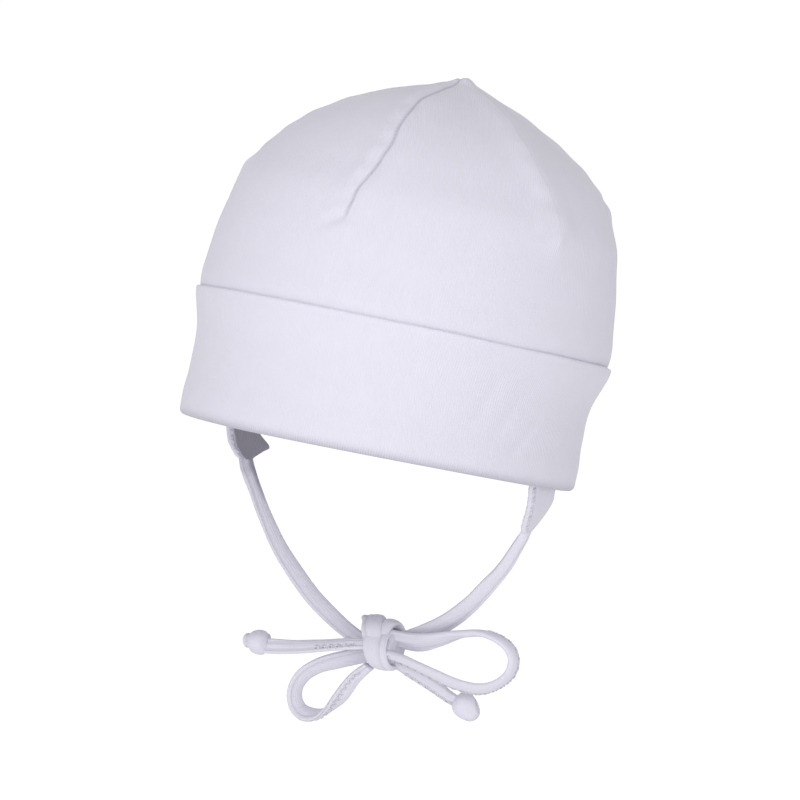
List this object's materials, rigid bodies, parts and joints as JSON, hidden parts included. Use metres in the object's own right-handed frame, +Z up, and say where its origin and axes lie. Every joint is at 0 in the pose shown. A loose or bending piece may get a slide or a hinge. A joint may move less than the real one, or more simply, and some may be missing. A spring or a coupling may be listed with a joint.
{
  "type": "baby's tie-on jersey nightcap",
  "caption": "Soft domed baby cap of cotton jersey with darted crown, turned-up cuff, ear tabs and flat ties knotted in a bow under the chin.",
  "frame": {"origin": "inside of the crown's tip, where the cap sits on top of the head", "axes": "+Z up as worn, -Y towards the face, +X towards the wearer's left; the cap is tilted 19 degrees back about X"},
  "size_m": [0.1528, 0.1694, 0.2428],
  "materials": {
    "crown_jersey": "single jersey cotton, soft and matt",
    "cuff_jersey": "doubled jersey cotton, soft and matt",
    "tab_jersey": "bound jersey cotton, matt",
    "tie_jersey": "folded and edge-stitched jersey cotton, matt"
  },
  "bodies": {
    "root": {"crown": "crown_jersey", "cuff": "cuff_jersey", "ear_tab_left": "tab_jersey", "ear_tab_right": "tab_jersey", "tie_strap_left": "tie_jersey", "tie_strap_right": "tie_jersey", "bow_knot": "tie_jersey", "bow_loop_left": "tie_jersey", "bow_loop_right": "tie_jersey", "tie_tail_left": "tie_jersey", "tie_tail_right": "tie_jersey", "tail_knot_left": "tie_jersey", "tail_knot_right": "tie_jersey"}
  },
  "joints": []
}
